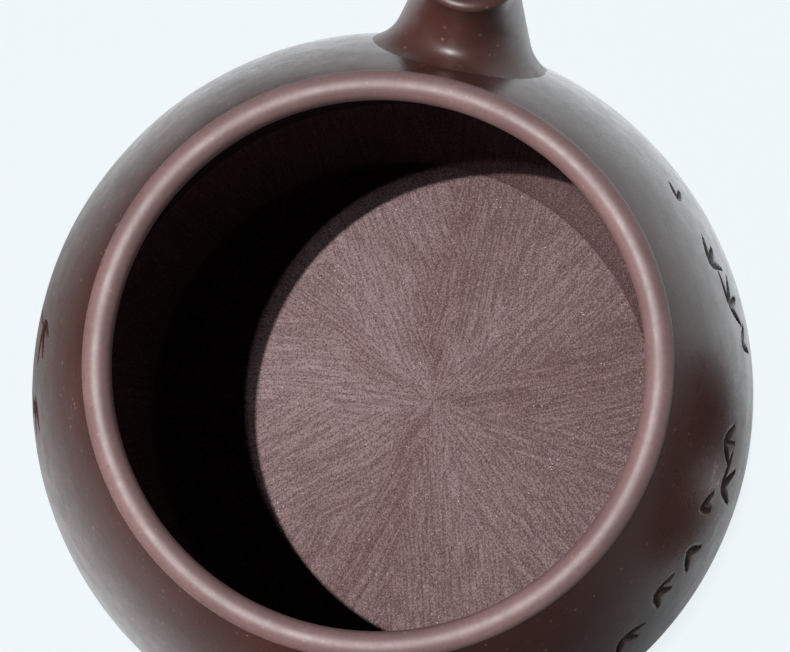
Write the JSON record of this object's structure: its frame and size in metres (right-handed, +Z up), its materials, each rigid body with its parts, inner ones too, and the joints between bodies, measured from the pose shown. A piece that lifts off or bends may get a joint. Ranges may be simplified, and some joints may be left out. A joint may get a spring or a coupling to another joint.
{
  "type": "yixing clay teapot",
  "caption": "Round unglazed purple-brown clay teapot with a wide mouth, a short spout, an ear handle and a domed lid standing beside it.",
  "frame": {"origin": "centre of the foot, on the surface that the pot stands on", "axes": "+Z up, +X towards the spout, the handle on -X, the lid beside the pot on -Y"},
  "size_m": [0.1201, 0.1662, 0.0675],
  "materials": {
    "clay_body": "satin, burnished purple-brown unglazed clay",
    "clay_rim": "satin, burnished unglazed clay",
    "clay_floor": "matte, sandy unglazed clay with tool strokes",
    "clay_inner": "matte unglazed clay",
    "clay_foot": "matte unglazed clay",
    "clay_spout": "satin, burnished unglazed clay",
    "clay_handle": "satin, burnished unglazed clay",
    "clay_lid": "satin, burnished unglazed clay",
    "clay_knob": "satin, burnished unglazed clay"
  },
  "bodies": {
    "pot": {"foot_ring": "clay_foot", "base_disc": "clay_floor", "body_wall": "clay_body", "shoulder_disc": "clay_body", "mouth_rim": "clay_rim", "spout": "clay_spout", "spout_strainer": "clay_inner", "handle": "clay_handle"},
    "lid": {"lid_disc": "clay_lid", "lid_line": "clay_rim", "lid_flange": "clay_inner", "knob": "clay_knob"}
  },
  "joints": [
    {"name": "lid_lift", "type": "slide", "parent": "pot", "child": "lid", "axis": [0, 0, 1], "range_m": [0, 0.1]}
  ]
}
